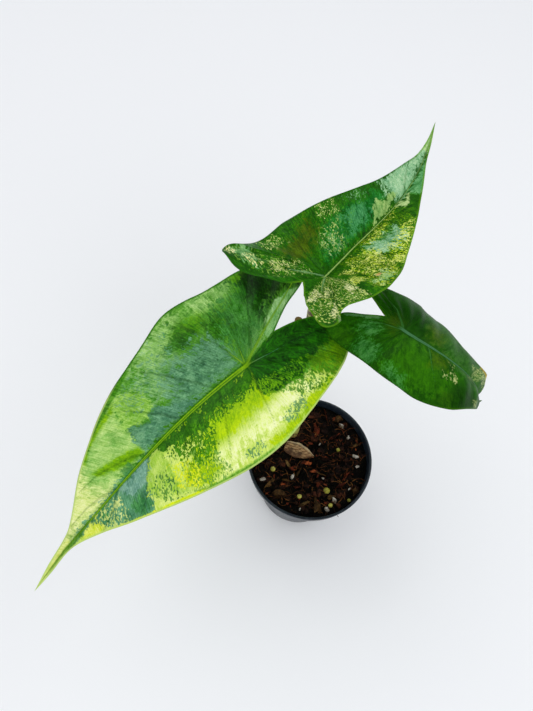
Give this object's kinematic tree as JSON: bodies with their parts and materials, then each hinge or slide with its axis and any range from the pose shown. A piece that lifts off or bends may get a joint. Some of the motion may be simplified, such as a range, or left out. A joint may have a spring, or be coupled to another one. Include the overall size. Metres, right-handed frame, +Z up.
{
  "type": "potted plant",
  "caption": "Young potted zebrina alocasia with variegated arrow-shaped leaves on banded stalks in a small round nursery pot.",
  "frame": {"origin": "middle of the pot's underside, on the surface the pot stands on", "axes": "+Z up along the pot's axis, +Y away from the picture's camera, +X to its right"},
  "size_m": [0.2235, 0.2725, 0.2786],
  "materials": {
    "pot": "satin",
    "potting_mix": "matte",
    "corm": "matte",
    "stalks": "satin",
    "old_stalk": "matte",
    "blade_front": "satin",
    "blade_top": "satin",
    "blade_right": "satin",
    "dry_sheath": "matte"
  },
  "bodies": {
    "root": {"pot": "pot", "potting_mix": "potting_mix", "dry_sheath": "dry_sheath", "corm": "corm", "petiole_front": "stalks", "petiole_top": "stalks", "petiole_right": "stalks", "old_stalk": "old_stalk", "blade_front": "blade_front", "blade_top": "blade_top", "blade_right": "blade_right"}
  },
  "joints": []
}
